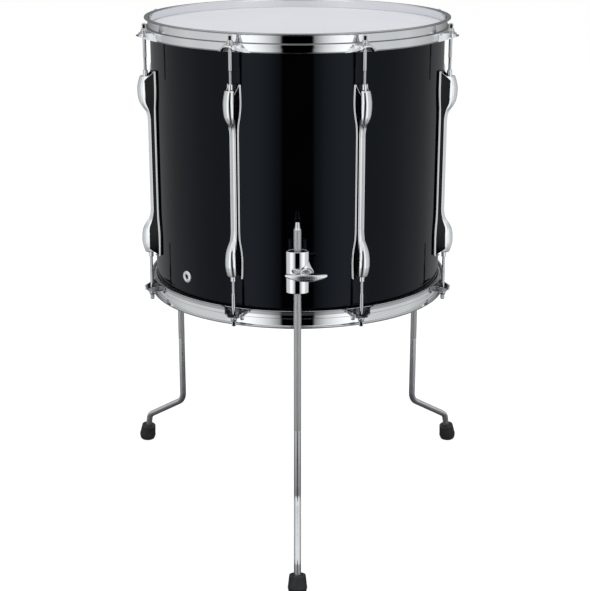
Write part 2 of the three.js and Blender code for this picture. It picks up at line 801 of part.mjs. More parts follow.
const lugSurface = surfaceOf(lugSolid());
const rodSurface = surfaceOf(rodSolid());
lugAngles.forEach((angle, i) => {
  addPiece(drum, `lug_${i + 1}`, lugSurface, chrome(), angle);
  for (const side of ["top", "bottom"]) {
    const holder = new THREE.Group();
    holder.rotation.z = radians(angle);
    drum.add(holder);
    const rod = addPiece(holder, `tension_rod_${side}_${i + 1}`, rodSurface, chrome());
    rod.position.y = -rodCircleRadius;
    if (side === "bottom") turnedOver(rod);
  }
});

const bracketSurface = surfaceOf(bracketSolid());
const jawSurface = surfaceOf(jawSolid());
const wingSurface = surfaceOf(wingBoltSolid());
const legSurface = legGeometry();
const footSurface = surfaceOf(footSolid());
for (const [place, angle] of Object.entries(legAngles)) {
  addPiece(drum, `leg_bracket_${place}`, bracketSurface, chrome(), angle);
  addPiece(drum, `clamp_jaw_${place}`, jawSurface, chrome(), angle);
  addPiece(drum, `wing_bolt_${place}`, wingSurface, chrome(), angle);
  const holder = new THREE.Group();
  holder.rotation.z = radians(angle);
  floorTom.add(holder);
  const pieces = [
    addPiece(holder, `leg_${place}`, legSurface, brushedChrome(), legTwists[place]),
    addPiece(holder, `rubber_foot_${place}`, footSurface, rubber(), legTwists[place]),
  ];
  pieces.forEach((piece) => {
    piece.position.y = -legCircleRadius;
  });
}
addPiece(drum, "vent_grommet", surfaceOf(ventSolid()), chrome(), ventAngle);

// The origin stands on the floor under the middle of the whole object
floorTom.updateMatrixWorld(true);
const reach = new THREE.Box3().setFromObject(floorTom, true);
const middle = reach.getCenter(new THREE.Vector3());
floorTom.position.set(-middle.x, -middle.y, 0);
floorTom.updateMatrixWorld(true);

export default floorTom;
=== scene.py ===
import math
import bpy
from mathutils import Matrix, Vector


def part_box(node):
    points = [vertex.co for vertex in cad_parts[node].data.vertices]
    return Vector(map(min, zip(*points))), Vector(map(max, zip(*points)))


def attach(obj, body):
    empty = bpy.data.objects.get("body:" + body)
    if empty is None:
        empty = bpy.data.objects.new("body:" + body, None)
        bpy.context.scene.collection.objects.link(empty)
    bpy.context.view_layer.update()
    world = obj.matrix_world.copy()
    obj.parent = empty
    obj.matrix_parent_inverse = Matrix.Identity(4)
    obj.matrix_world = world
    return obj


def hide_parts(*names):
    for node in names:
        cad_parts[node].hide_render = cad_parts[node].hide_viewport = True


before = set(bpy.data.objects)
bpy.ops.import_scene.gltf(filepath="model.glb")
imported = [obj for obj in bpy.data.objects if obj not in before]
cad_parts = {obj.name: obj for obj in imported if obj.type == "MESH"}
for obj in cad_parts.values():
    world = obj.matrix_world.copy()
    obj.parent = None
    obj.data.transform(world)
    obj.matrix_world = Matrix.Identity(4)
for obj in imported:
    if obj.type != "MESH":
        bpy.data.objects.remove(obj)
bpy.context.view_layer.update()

# Sizes in millimetres, in the drum's own frame: its axis at the origin, the shell's middle at height zero
MM = 0.001
SHELL_R = 228.6
SHELL_IN = 222.0
HALF = 203.2
RIM = 217.1
ROD_R = 247.5
LEG_R = 260.0
BRACKET_Z = -120.4
LEG_ANGLES = {"front": 0.0, "right": 127.5, "left": -127.5}
LEG_TWISTS = {"front": 0.0, "right": 3.0, "left": -3.0}
LUG_ANGLES = [22.5 + 45.0 * i for i in range(8)]

# The gap between a fitted piece and its seat, and the radius where a turned solid's ends close
GAP, HUB = 0.3, 0.01

low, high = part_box("shell")
AXIS = Vector(((low.x + high.x) / 2, (low.y + high.y) / 2, (low.z + high.z) / 2))

# Turns about X: upside down for the lower half's pieces, and height run outwards from the drum, along -Y
OVER = Matrix.Rotation(math.pi, 4, "X")
OUTWARDS = Matrix.Rotation(math.radians(90), 4, "X")


# Small tools for curves

def about_z(degrees):
    return Matrix.Rotation(math.radians(degrees), 4, "Z")


def sweep(first, last, steps):
    """Angles in radians from first to last, which are in degrees, in equal steps."""
    return [math.radians(first + (last - first) * k / steps) for k in range(steps + 1)]


def circle(r, z, count, centre=(0, 0)):
    """Points round an axis along Z, from the front towards +X."""
    turns = [2 * math.pi * i / count for i in range(count)]
    return [(centre[0] + r * math.sin(a), centre[1] - r * math.cos(a), z) for a in turns]


def pairs(points):
    """Each point with the next, the last with the first."""
    return zip(points, points[1:] + points[:1])


def block(left, right, bottom, top, radius):
    """The corners of a rectangle, for rounded."""
    return [(left, bottom, radius), (right, bottom, radius), (right, top, radius), (left, top, radius)]


def monotone(points, count):
    """A smooth curve through [x, y, ...] rows that never overshoots, sampled at count places."""
    xs = [p[0] for p in points]
    out = [[xs[0] + (xs[-1] - xs[0]) * i / (count - 1)] for i in range(count)]
    for column in range(1, len(points[0])):
        ys = [p[column] for p in points]
        steps = [(ys[i + 1] - ys[i]) / (xs[i + 1] - xs[i]) for i in range(len(xs) - 1)]
        slopes = [steps[0]]
        for a, b in zip(steps, steps[1:]):
            slopes.append(0.0 if a * b <= 0 else 2 * a * b / (a + b))
        slopes.append(steps[-1])
        for row in out:
            i = max(j for j in range(len(steps)) if row[0] >= xs[j] or j == 0)
            h = xs[i + 1] - xs[i]
            t = (row[0] - xs[i]) / h
            row.append(ys[i] * (1 + 2 * t) * (1 - t) ** 2 + ys[i + 1] * t * t * (3 - 2 * t)
                       + h * (slopes[i] * t * (1 - t) ** 2 - slopes[i + 1] * t * t * (1 - t)))
    return out


def rounded(corners, closed=True, steps=5):
    """A polyline of (x, y, radius) corners with each corner turned into an arc."""
    points = []
    n = len(corners)
    edge_share = 0.48
    for i, (x, y, radius) in enumerate(corners):
        if radius <= 0 or (not closed and i in (0, n - 1)):
            points.append((x, y))
            continue
        corner = Vector((x, y))
        before = Vector(corners[i - 1][:2]) - corner
        after = Vector(corners[(i + 1) % n][:2]) - corner
        a, b = before.normalized(), after.normalized()
        half = a.angle(b) / 2
        cut = min(radius / math.tan(half), before.length * edge_share, after.length * edge_share)
        centre = corner + (a + b).normalized() * (cut * math.tan(half) / math.sin(half))
        start = corner + a * cut - centre
        end = corner + b * cut - centre
        whole = math.atan2(start.x * end.y - start.y * end.x, start.dot(end))
        for k in range(steps + 1):
            t = whole * k / steps
            points.append((centre.x + start.x * math.cos(t) - start.y * math.sin(t),
                           centre.y + start.x * math.sin(t) + start.y * math.cos(t)))
    return points


def slot_of(slots, row, column=None):
    """A face's material slot, from a number, a list by row, or a rule that leaves the caps at slot 0."""
    if callable(slots):
        return 0 if column is None else slots(row, column)
    return slots[row] if isinstance(slots, list) else slots


class Skin:
    """Points and faces in millimetres, gathered from several closed surfaces."""

    def __init__(self):
        self.points, self.faces, self.slots, self.uvs = [], [], [], []

    def loft(self, rings, slots=0, loop=False):
        """Quads between rings of equal count, capped, or with loop the last ring joined to the first."""
        n = len(rings[0])
        base = len(self.points)
        for ring in rings:
            self.points += [tuple(p) for p in ring]
        run = 0.0
        for j in range(len(rings) if loop else len(rings) - 1):
            k = (j + 1) % len(rings)
            far = run + (Vector(rings[k][0]) - Vector(rings[j][0])).length
            for i in range(n):
                m = (i + 1) % n
                self.faces.append((base + j * n + i, base + j * n + m, base + k * n + m, base + k * n + i))
                self.slots.append(slot_of(slots, j, i))
                self.uvs.append(((i / n, run), ((i + 1) / n, run), ((i + 1) / n, far), (i / n, far)))
            run = far
        if not loop:
            for j, order in ((0, -1), (len(rings) - 1, 1)):
                face = [base + j * n + i for i in range(n)][::order]
                self.faces.append(tuple(face))
                self.slots.append(slot_of(slots, j))
                self.uvs.append(tuple((0.5, 0.5) for _ in face))
        return self

    def lathe(self, profile, segments, slots=0, centre=(0, 0), loop=True):
        """A ring from a closed outline of (radius, height), or a turned solid with ends near the axis."""
        rings = [circle(r, z, segments, centre) for r, z in profile]
        return self.loft(rings, slots, loop)

    def add(self, other, matrix):
        """Another skin's surfaces, moved."""
        base = len(self.points)
        self.points += [tuple(matrix @ Vector(p)) for p in other.points]
        self.faces += [tuple(base + i for i in face) for face in other.faces]
        self.slots += other.slots
        self.uvs += other.uvs
        return self


# Materials

def fill(inputs, values):
    for name, value in values.items():
        inputs[name].default_value = value


def compute(tree, operation, *values):
    """A math node's result, from sockets and plain numbers."""
    node = tree.nodes.new("ShaderNodeMath")
    node.operation = operation
    for socket, value in zip(node.inputs, values):
        if isinstance(value, (int, float)):
            socket.default_value = value
        else:
            tree.links.new(value, socket)
    return node.outputs["Value"]


def ramp(tree, source, low_value, high_value, start=0.3, end=0.7):
    """A value from a texture, spread between two limits."""
    node = tree.nodes.new("ShaderNodeMapRange")
    fill(node.inputs, {"From Min": start, "From Max": end, "To Min": low_value, "To Max": high_value})
    tree.links.new(source, node.inputs["Value"])
    return node.outputs["Result"]


def colours(tree, source, stops):
    """A colour from a value, by (place, colour) stops."""
    node = tree.nodes.new("ShaderNodeValToRGB")
    elements = node.color_ramp.elements
    while len(elements) < len(stops):
        elements.new(0.5)
    for element, (place_at, colour) in zip(elements, stops):
        element.position = place_at
        element.color = (*colour, 1)
    tree.links.new(source, node.inputs["Fac"])
    return node.outputs["Color"]


class Look:
    """A principled material whose colour, roughness and relief come from textures."""

    def __init__(self, name, metallic=0.0):
        self.material = bpy.data.materials.new(name)
        self.material.use_nodes = True
        self.tree = self.material.node_tree
        self.new, self.link = self.tree.nodes.new, self.tree.links.new
        self.inputs = self.tree.nodes["Principled BSDF"].inputs
        fill(self.inputs, {"Metallic": metallic})

    def noise(self, scale, detail, stretch=(1, 1, 1), rough=0.5):
        where = self.new("ShaderNodeTexCoord")
        mapping = self.new("ShaderNodeMapping")
        fill(mapping.inputs, {"Scale": stretch})
        texture = self.new("ShaderNodeTexNoise")
        fill(texture.inputs, {"Scale": scale, "Detail": detail, "Roughness": rough})
        self.link(where.outputs["Object"], mapping.inputs["Vector"])
        self.link(mapping.outputs["Vector"], texture.inputs["Vector"])
        return texture.outputs["Fac"]

    def colour(self, source, *shades, places=(0.3, 0.7)):
        self.link(colours(self.tree, source, list(zip(places, shades))), self.inputs["Base Color"])

    def rough(self, source, least, most):
        self.link(ramp(self.tree, source, least, most), self.inputs["Roughness"])

    def bump(self, height, strength, distance):
        node = self.new("ShaderNodeBump")
        fill(node.inputs, {"Strength": strength, "Distance": distance})
        self.link(height, node.inputs["Height"])
        self.link(node.outputs["Normal"], self.inputs["Normal"])


def lacquer():
    """Black high gloss lacquer with a trace of orange peel and of polishing haze."""
    look = Look("black_gloss_lacquer")
    fill(look.inputs, {"IOR": 1.28, "Specular Tint": (0.66, 0.80, 1.0, 1)})
    look.colour(look.noise(9, 3), (0.0004, 0.0004, 0.0006), (0.0008, 0.0008, 0.0011))
    look.rough(look.noise(24, 6), 0.020, 0.050)
    look.bump(look.noise(170, 2), 0.04, 0.0002)
    return look.material


def wood():
    """The shell's bare inside: pale veneer with its grain running round the drum."""
    look = Look("bare_maple_veneer")
    grain = look.noise(18, 8, (1, 1, 14), 0.62)
    fine = look.noise(90, 5, (1, 1, 22), 0.7)
    mix = compute(look.tree, "MULTIPLY_ADD", fine, 0.45, grain)
    look.colour(mix, (0.36, 0.22, 0.115), (0.55, 0.38, 0.22), (0.66, 0.49, 0.31), places=(0.45, 0.7, 0.95))
    look.rough(grain, 0.42, 0.62)
    look.bump(mix, 0.18, 0.0004)
    return look.material


def chrome(name="polished_chrome", darker=(0.79, 0.805, 0.82), lighter=(0.83, 0.84, 0.85),
           rough=(0.015, 0.04), wave=0.03):
    """Chrome plate with faint wiping marks and the slight waviness of polished castings."""
    look = Look(name, 1.0)
    look.colour(look.noise(26, 5), darker, lighter)
    look.rough(look.noise(70, 6, (1, 1, 0.35)), *rough)
    look.bump(look.noise(38, 1), wave, 0.0006)
    return look.material


def painted_shade_gloss():
    """A streaky black gloss: painted shade on the lug's side walls, which read black, and on the dark floor
    under its lips.
    """
    look = Look("streaky_gloss_painted_shade")
    fill(look.inputs, {"IOR": 1.3})
    streaks = look.noise(110, 4, (1, 1, 0.16))
    look.colour(streaks, (0.0005, 0.0005, 0.0006), (0.0050, 0.0052, 0.0056), places=(0.35, 0.75))
    look.rough(streaks, 0.03, 0.16)
    look.bump(streaks, 0.4, 0.0008)
    return look.material


def ear_shade_plating():
    """The insides of the pressed ears, darkened with painted shade in their hollows."""
    look = Look("ear_plating_painted_shade", 1.0)
    cloud = look.noise(90, 5)
    look.colour(cloud, (0.085, 0.088, 0.093), (0.17, 0.175, 0.18))
    look.rough(look.noise(160, 4), 0.26, 0.40)
    look.bump(cloud, 0.15, 0.0005)
    return look.material


def cast_chrome():
    """Chrome over a casting whose polishing left fine streaks along its length."""
    look = Look("streaked_cast_chrome", 1.0)
    streaks = look.noise(150, 3, (0.08, 1, 3.2))
    look.colour(streaks, (0.70, 0.715, 0.73), (0.84, 0.85, 0.86))
    look.rough(streaks, 0.15, 0.32)
    look.bump(streaks, 0.6, 0.0010)
    return look.material


def knurled():
    """Steel rod with a fine diamond knurl, in the rod's own round-and-along coordinates."""
    look = Look("knurled_steel", 1.0)
    where = look.new("ShaderNodeTexCoord")
    split = look.new("ShaderNodeSeparateXYZ")
    look.link(where.outputs["UV"], split.inputs["Vector"])
    turns, pitch = 24, 1.25

    def helix(hand):
        across = compute(look.tree, "MULTIPLY", split.outputs["X"], hand * 2 * math.pi * turns)
        along = compute(look.tree, "MULTIPLY_ADD", split.outputs["Y"], 2 * math.pi / pitch, across)
        return compute(look.tree, "SINE", along)

    deep = compute(look.tree, "MINIMUM", helix(1), helix(-1))
    # The grooves are coloured darker than the crests: painted shade in the knurl's hollows.
    look.colour(ramp(look.tree, deep, 0, 1, -1, 0.8), (0.50, 0.505, 0.51), (0.61, 0.615, 0.62),
                (0.69, 0.695, 0.70), places=(0.0, 0.5, 1.0))
    look.rough(look.noise(160, 4), 0.42, 0.54)
    look.bump(deep, 0.22, 0.0003)
    return look.material


def coated_film():
    """White sprayed coating on the upper head: a fine grain, and soft clouds where it dried."""
    look = Look("coated_white_film")
    look.colour(look.noise(5, 3), (0.635, 0.64, 0.675), (0.675, 0.68, 0.71))
    look.rough(look.noise(300, 3), 0.50, 0.62)
    look.bump(look.noise(900, 2), 0.22, 0.0003)
    return look.material


def clear_film():
    """The thin clear lower head, with the faint haze of drawn film."""
    look = Look("clear_drawn_film")
    fill(look.inputs, {"Alpha": 0.3, "IOR": 1.5})
    look.colour(look.noise(6, 3), (0.80, 0.82, 0.84), (0.86, 0.88, 0.90))
    look.rough(look.noise(40, 4), 0.06, 0.13)
    look.bump(look.noise(14, 2), 0.04, 0.001)
    return look.material


def satin_aluminium():
    """Rolled aluminium with fine lines along the ring."""
    look = Look("satin_aluminium", 1.0)
    lines = look.noise(60, 4, (1, 1, 30))
    look.colour(lines, (0.60, 0.61, 0.62), (0.72, 0.73, 0.74))
    look.rough(lines, 0.28, 0.42)
    look.bump(lines, 0.1, 0.0002)
    return look.material


def rubber():
    """Matt black moulded rubber with a dusty grain."""
    look = Look("moulded_rubber")
    look.colour(look.noise(120, 5), (0.010, 0.010, 0.011), (0.022, 0.022, 0.024), places=(0.3, 0.75))
    look.rough(look.noise(260, 5), 0.42, 0.62)
    look.bump(look.noise(700, 3), 0.25, 0.0003)
    return look.material


def barrel_shade_lining():
    """Black lining of the leg brackets: painted shade for the insides of their barrels and grips."""
    look = Look("black_lining_painted_shade")
    look.colour(look.noise(90, 4), (0.006, 0.006, 0.007), (0.012, 0.012, 0.013))
    look.rough(look.noise(200, 3), 0.35, 0.5)
    look.bump(look.noise(500, 2), 0.1, 0.0002)
    return look.material


LACQUER, WOOD, CHROME, FILM = lacquer(), wood(), chrome(), coated_film()
CLEAR, ALLOY, RUBBER, KNURL, BARREL_SHADE = clear_film(), satin_aluminium(), rubber(), knurled(), barrel_shade_lining()
PLATED = chrome("plated_steel", (0.58, 0.585, 0.60), (0.66, 0.665, 0.68), (0.08, 0.16), 0.02)
CAST, SHADED, EAR_SHADE = cast_chrome(), painted_shade_gloss(), ear_shade_plating()
# Darker chrome for the hoops' step and rim edge: painted shade along the step and the edge.
PAINTED_SHADE_CHROME = chrome("chrome_with_painted_shade", (0.28, 0.285, 0.295), (0.35, 0.355, 0.365), (0.10, 0.18), 0.01)
SATIN = chrome("satin_plate", (0.74, 0.75, 0.76), (0.82, 0.83, 0.84), (0.24, 0.32), 0.02)


# Putting pieces into the scene

def mesh_of(name, skin, materials, sharp=38):
    """A mesh in metres, smooth but for edges sharper than that many degrees, with evened normals."""
    mesh = bpy.data.meshes.new(name)
    mesh.from_pydata([(x * MM, y * MM, z * MM) for x, y, z in skin.points], [], skin.faces)
    for material in materials:
        mesh.materials.append(material)
    layer = mesh.uv_layers.new(name="round_and_along")
    for polygon, slot_index, uv in zip(mesh.polygons, skin.slots, skin.uvs):
        polygon.material_index = slot_index
        polygon.use_smooth = True
        for loop, value in zip(polygon.loop_indices, uv):
            layer.data[loop].uv = value
    mesh.update()
    mesh.set_sharp_from_angle(angle=math.radians(sharp))
    holder = bpy.data.objects.new(name, mesh)
    bpy.context.scene.collection.objects.link(holder)
    holder.modifiers.new("even_shading", "WEIGHTED_NORMAL").keep_sharp = True
    shaded = bpy.data.meshes.new_from_object(holder.evaluated_get(bpy.context.evaluated_depsgraph_get()))
    bpy.data.objects.remove(holder)
    shaded.name = name
    return shaded


def place(name, mesh, body, nodes, angle=0.0, local=Matrix(), baked=False):
    """A piece in the drum's frame, turned about the drum's axis, riding on a body.

    baked puts the turn into the mesh, so that the piece's own box is no larger than its points.
    """
    turn = about_z(angle) @ local
    if baked:
        mesh = mesh.copy()
        mesh.transform(turn)
        turn = Matrix()
    piece = bpy.data.objects.new(name, mesh)
    bpy.context.scene.collection.objects.link(piece)
    piece.matrix_world = Matrix.Translation(AXIS) @ turn
    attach(piece, body)
    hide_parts(*nodes)
    return piece


# The shell

def shell_mesh():
    """The wooden wall, with rounded outer edges and bearing edges that slope down to the inside."""
    soft, crest, tolerance = 2.0, 0.8, 0.01
    shoulder = SHELL_R - soft
    peak = shoulder - crest
    top = [(shoulder + soft * math.cos(t), HALF - soft + soft * math.sin(t)) for t in sweep(0, 90, 6)]
    top += [(peak, HALF), (SHELL_IN, HALF - (peak - SHELL_IN))]
    profile = [(r, -z) for r, z in reversed(top)] + top
    rows = [0 if min(a[0], b[0]) > SHELL_R - tolerance else 1 for a, b in pairs(profile)]
    return mesh_of("shell_visual", Skin().lathe(profile, 288, rows), [LACQUER, WOOD])


place("shell_visual", shell_mesh(), "drum", ["shell"])


# Heads and flesh hoops

def film_mesh(name, material):
    """A film over the shell's edge, with a rounded shoulder and a collar that goes down beside the wall."""
    lift, soft, thick, drop, collar = 0.65, 1.6, 0.34, 0.05, 8
    top, outer = HALF + lift, SHELL_R + lift
    curve = [(outer - soft + soft * math.sin(t), top - soft + soft * math.cos(t)) for t in sweep(0, 90, 5)]
    profile = [(HUB, top - thick), (outer - soft - 2 * drop, top - thick)]
    profile += [(r - thick, z - drop) for r, z in curve[2:]]
    profile += [(outer - thick, top - collar), (outer, top - collar)] + curve[::-1]
    profile += [(outer * share, top) for share in (0.66, 0.33)] + [(HUB, top)]
    return mesh_of(name, Skin().lathe(profile, 256, loop=False), [material])


def flesh_hoop_mesh():
    """A flat ring with rounded corners."""
    inner, outer, top, tall, soft = SHELL_R + 0.75, SHELL_R + 4.6, HALF - 3.5, 8, 0.8
    outline = rounded(block(inner, outer, top - tall, top, soft))
    return mesh_of("flesh_hoop_visual", Skin().lathe(outline, 192), [ALLOY])


place("batter_head_visual", film_mesh("batter_film", FILM), "drum", ["batter_head"])
place("resonant_head_visual", film_mesh("resonant_film", CLEAR), "drum", ["resonant_head"],
      local=OVER)
FLESH = flesh_hoop_mesh()
place("batter_flesh_hoop_visual", FLESH, "drum", ["batter_flesh_hoop"])
place("resonant_flesh_hoop_visual", FLESH, "drum", ["resonant_flesh_hoop"], local=OVER)


# Hoops with their pressed ears; an ear's mouth and seat each have a half width and a reach

METAL, WALL_IN, BAND_IN = 2.3, 229.55, 233.5
WALL_OUT, BAND_OUT = WALL_IN + METAL, BAND_IN + METAL
FLANGE_R = WALL_OUT + 5.4
LIP, STEP, SEAT = RIM - 27.6, RIM - 14.8, RIM - 16.1
EAR_MOUTH, EAR_SEAT, EAR_ROOT, EAR_FLARE = (20.0, 22.5), (12.5, 19.5), BAND_OUT - 1.2, 9.0


def hoop_profile():
    return rounded([
        (BAND_IN, LIP, 0.7), (BAND_OUT + 1.4, LIP, 0.9), (BAND_OUT + 1.2, LIP + 1.9, 0.9),
        (BAND_OUT, LIP + 7.0, 4.0), (BAND_OUT, STEP, 1.1), (WALL_OUT, STEP, 1.0), (WALL_OUT, RIM - 2.4, 1.8),
        (FLANGE_R, RIM - 2.2, 0.5), (FLANGE_R, RIM, 1.4), (WALL_IN, RIM, 2.0), (WALL_IN, STEP - METAL, 0.6),
        (BAND_IN, STEP - METAL, 1.4),
    ], steps=6)


def ear_outline(seat_share, count, inset):
    """The ear's plan round the rod's hole: seat_share 1 is the flat seat, 0 the wide mouth."""
    half, reach = [mouth + (seat - mouth) * seat_share - inset for mouth, seat in zip(EAR_MOUTH, EAR_SEAT)]
    flare = EAR_FLARE * (1 - seat_share)
    tip_share = 0.5 + 0.2 * seat_share
    side = [(half + flare, -EAR_ROOT, 0.0), (half * 0.97, -(EAR_ROOT + 3.2), 4.0),
            (half * tip_share, -(BAND_OUT + reach), 7.0)]
    corners = [(-half - flare, -EAR_ROOT, 0.0)] + side + [(-x, y, r) for x, y, r in side[:0:-1]]
    line = rounded(corners, steps=8)
    points = []
    centre = Vector((0, -ROD_R))
    for x, y, _ in circle(1, 0, count):
        direction = Vector((x, y))
        hits = []
        for (x0, y0), (x1, y1) in pairs(line):
            edge = Vector((x1 - x0, y1 - y0))
            gap = Vector((x0, y0)) - centre
            cross = direction.x * edge.y - direction.y * edge.x
            if abs(cross) < 1e-9:
                continue
            away = (gap.x * edge.y - gap.y * edge.x) / cross
            share = (gap.x * direction.y - gap.y * direction.x) / cross
            if away > 0 and -1e-6 <= share <= 1 + 1e-6:
                hits.append(away)
        points.append(tuple(centre + direction * max(hits)))
    return points


def skirt_edge(x, y):
    """The skirt's lower edge: it rises outwards from the lip, and more in the arch in front."""
    away = max(0.0, -y - BAND_OUT - 2.0)
    arch_half, arch_rise, arch_from = 8.2, 3.4, 8
    arch = math.sqrt(max(0.0, 1 - (x / arch_half) ** 2)) if away > arch_from else 0.0
    return LIP + 0.30 * away + arch_rise * arch


def half_way(ring, other):
    return [tuple(Vector(p).lerp(Vector(q), 0.5)) for p, q in zip(ring, other)]


def ear_skin():
    """A sheet that falls from the seat to the mouth, arched in front, with a hole for the rod."""
    count, hole_r, edge, inset = 144, 3.5, 0.4, METAL * 0.95
    levels = [(1.0, 0.0), (0.985, 0.35), (0.93, 1.1), (0.84, 2.2), (0.62, 4.6), (0.4, 6.9), (0.2, 9.0),
              (0.0, SEAT - LIP)]

    def layer(share, drop, inset, down=0.0):
        top = SEAT - drop - down
        return [(x, y, max(top, skirt_edge(x, y))) for x, y in ear_outline(share, count, inset)]

    def hole(r, z):
        return circle(r, z, count, (0, -ROD_R))

    seat_edge = layer(0.99, 0.0, 1.0)
    seat_hole, low_hole = hole(hole_r + edge, SEAT), hole(hole_r, SEAT - METAL)
    over = [low_hole, hole(hole_r, SEAT - edge), seat_hole, half_way(seat_hole, seat_edge), seat_edge]
    over += [layer(share, drop, 0.0) for share, drop in levels[1:]]
    under = [layer(share, drop, inset, METAL) for share, drop in reversed(levels)]
    under.append(half_way(under[-1], low_hole))
    # The underside's faces take slot 2: painted shade inside the ears.
    return Skin().loft(over + under, [0] * len(over) + [2] * len(under), loop=True)


def hoop_mesh():
    """The flanged ring, darker with painted shade on the step and on the rim's edge, with its eight ears."""
    profile = hoop_profile()
    step_low, step_high, step_in, edge_in = STEP - 0.8, STEP + 1.2, WALL_OUT - 0.1, WALL_OUT + 4.9
    rows = []
    # The step's faces and the rim's outer edge take the painted shade.
    for (r0, z0), (r1, z1) in pairs(profile):
        on_step = min(z0, z1) > step_low and max(z0, z1) < step_high and min(r0, r1) > step_in
        rows.append(1 if on_step or min(r0, r1) > edge_in else 0)
    skin = Skin().lathe(profile, 320, rows)
    ear = ear_skin()
    for angle in LUG_ANGLES:
        skin.add(ear, about_z(angle))
    return mesh_of("triple_flanged_hoop", skin, [CHROME, PAINTED_SHADE_CHROME, EAR_SHADE], 50)


HOOP = hoop_mesh()
place("batter_hoop_visual", HOOP, "drum", ["batter_hoop"])
place("resonant_hoop_visual", HOOP, "drum", ["resonant_hoop"], local=OVER)


# Tension rods

def thread(skin, inner, outer, start, end, pitch, segments=20):
    """A screw thread as one winding surface between two heights."""
    rows = int(2 * (end - start) / pitch)
    base = len(skin.points)
    for j in range(rows + 1):
        for i, (x, y, _) in enumerate(circle(outer if j % 2 else inner, 0, segments)):
            skin.points.append((x, y, start + (j / 2 + i / segments) * pitch))

    def at(j, i):
        return base + j * segments + i

    for j in range(rows):
        for i in range(segments):
            if i < segments - 1:
                face = (at(j, i), at(j, i + 1), at(j + 1, i + 1), at(j + 1, i))
            elif j + 3 <= rows:
                face = (at(j, i), at(j + 2, 0), at(j + 3, 0), at(j + 1, i))
            else:
                continue
            skin.faces.append(face)
            skin.slots.append(0)
            skin.uvs.append(((0, 0), (1, 0), (1, 1), (0, 1)))


def rod_mesh():
    """A threaded end, a shank, a washer, a coned collar and a square head with a domed top."""
    washer = SEAT + GAP
    collar, head = washer + 1.5, washer + 3.7
    top, cone_top = head + 10.3, head + 2.9
    end, shank = 128.6, washer - 36.4
    core_r, root_r, crest_r, shank_r, pitch, overlap = 1.9, 1.95, 2.4, 2.65, 1.06, 0.2
    washer_in, washer_out, soft = 2.6, 6.3, 0.5
    skin = Skin()
    thread(skin, root_r, crest_r, end + 1.4, shank + 0.8, pitch)
    skin.lathe([(HUB, end), (core_r, end), (core_r, shank - 1.0), (shank_r, shank),
                (shank_r, washer + overlap), (HUB, washer + overlap)], 28, loop=False)
    skin.lathe(rounded([(washer_in, washer, 0), (washer_out, washer, soft), (washer_out, collar, soft),
                        (washer_in, collar, 0)], steps=4), 40)
    skin.lathe(rounded([(HUB, collar, 0), (5.3, collar, 0.6), (5.1, collar + 1.4, 0.9), (3.8, cone_top, 0.6),
                        (HUB, cone_top, 0)], closed=False, steps=4), 36, loop=False)
    foot = [(3.2, 0.0, 1.5), (3.2, 1.0, 1.5)]
    dome = [(3.2, 2.6, 1.5), (3.15, 1.9, 1.5), (2.9, 1.1, 1.5), (2.45, 0.45, 1.4), (1.7, 0.08, 1.0),
            (1.0, 0.0, 0.7)]
    stations = [(half, head + up, corner) for half, up, corner in foot]
    stations += [(half, top - drop, corner) for half, drop, corner in dome]
    rings = []
    for half, z, corner in stations:
        rings.append([(x, y, z) for x, y in rounded(block(-half, half, -half, half, corner), steps=7)])
    skin.loft(rings)
    return mesh_of("tension_rod", skin, [PLATED], 35)


ROD = rod_mesh()
for i, angle in enumerate(LUG_ANGLES, 1):
    at_rod = Matrix.Translation(Vector((0, -ROD_R * MM, 0))) @ about_z(-angle)
    for end, over in (("top", Matrix()), ("bottom", OVER)):
        place(f"tension_rod_{end}_{i}_visual", ROD, f"rod_{end}_{i}", [f"tension_rod_{end}_{i}"],
              angle, at_rod @ over)


# Bridge lugs, by height: the lips' half width; the bow's half width and two reaches; the walls' reach

LUG_EDGE = [[0, 7.0], [68, 7.0], [84, 7.6], [96, 9.5], [108, 11.0], [118, 11.5], [130, 11.3], [139, 11.0],
            [143.2, 10.8], [144, 10.4]]
LUG_BOW = [[0, 4.0, 8.2, 17.3], [66, 4.0, 8.2, 17.3], [76, 4.1, 8.6, 18.1], [83, 4.7, 9.4, 20.2],
           [92, 6.1, 11.2, 26.4], [102, 7.6, 12.2, 30.6], [112, 8.3, 12.4, 31.9], [119, 8.35, 12.4, 32.0],
           [127, 8.0, 12.3, 30.6], [133, 7.4, 12.2, 28.9], [136.5, 7.0, 12.2, 27.6], [137, 6.6, 12.5, 27.2]]
LUG_WALL = [[0, 14.6], [70, 14.6], [84, 17.0], [96, 22.0], [104, 25.0], [112, 26.0], [124, 26.0], [130, 24.0],
            [134, 20.0], [138, 14.5], [141, 10.8], [143.4, 8.4]]
LUG_LIP_LOW, LUG_LIP_HIGH = 5.5, 8.7


def on_shell(x, out):
    """The place along Y of a point that far outside the shell's surface, straight out from x."""
    return -(math.sqrt((SHELL_R + GAP) ** 2 - x * x) + out)


def straight_out(_, out):
    """The place along Y of a point that far outside the shell's foremost line."""
    return -(SHELL_R + out)


def side_ring(section, side, z, depth):
    """A ring of (x, out) points on one side of a lug, in the order that keeps its faces outwards."""
    return [(side * x, depth(x, out), z) for x, out in section][::side]


def both_ways(half, count):
    """A table from the middle up, sampled from its lower end to its upper end."""
    return monotone([[-row[0], *row[1:]] for row in reversed(half[1:])] + half, count)


def at_height(half, z, steps=288):
    """The row of a table at a height either side of the middle."""
    return monotone(half, steps + 1)[min(steps, int(abs(z) / half[-1][0] * steps + 0.5))][1:]


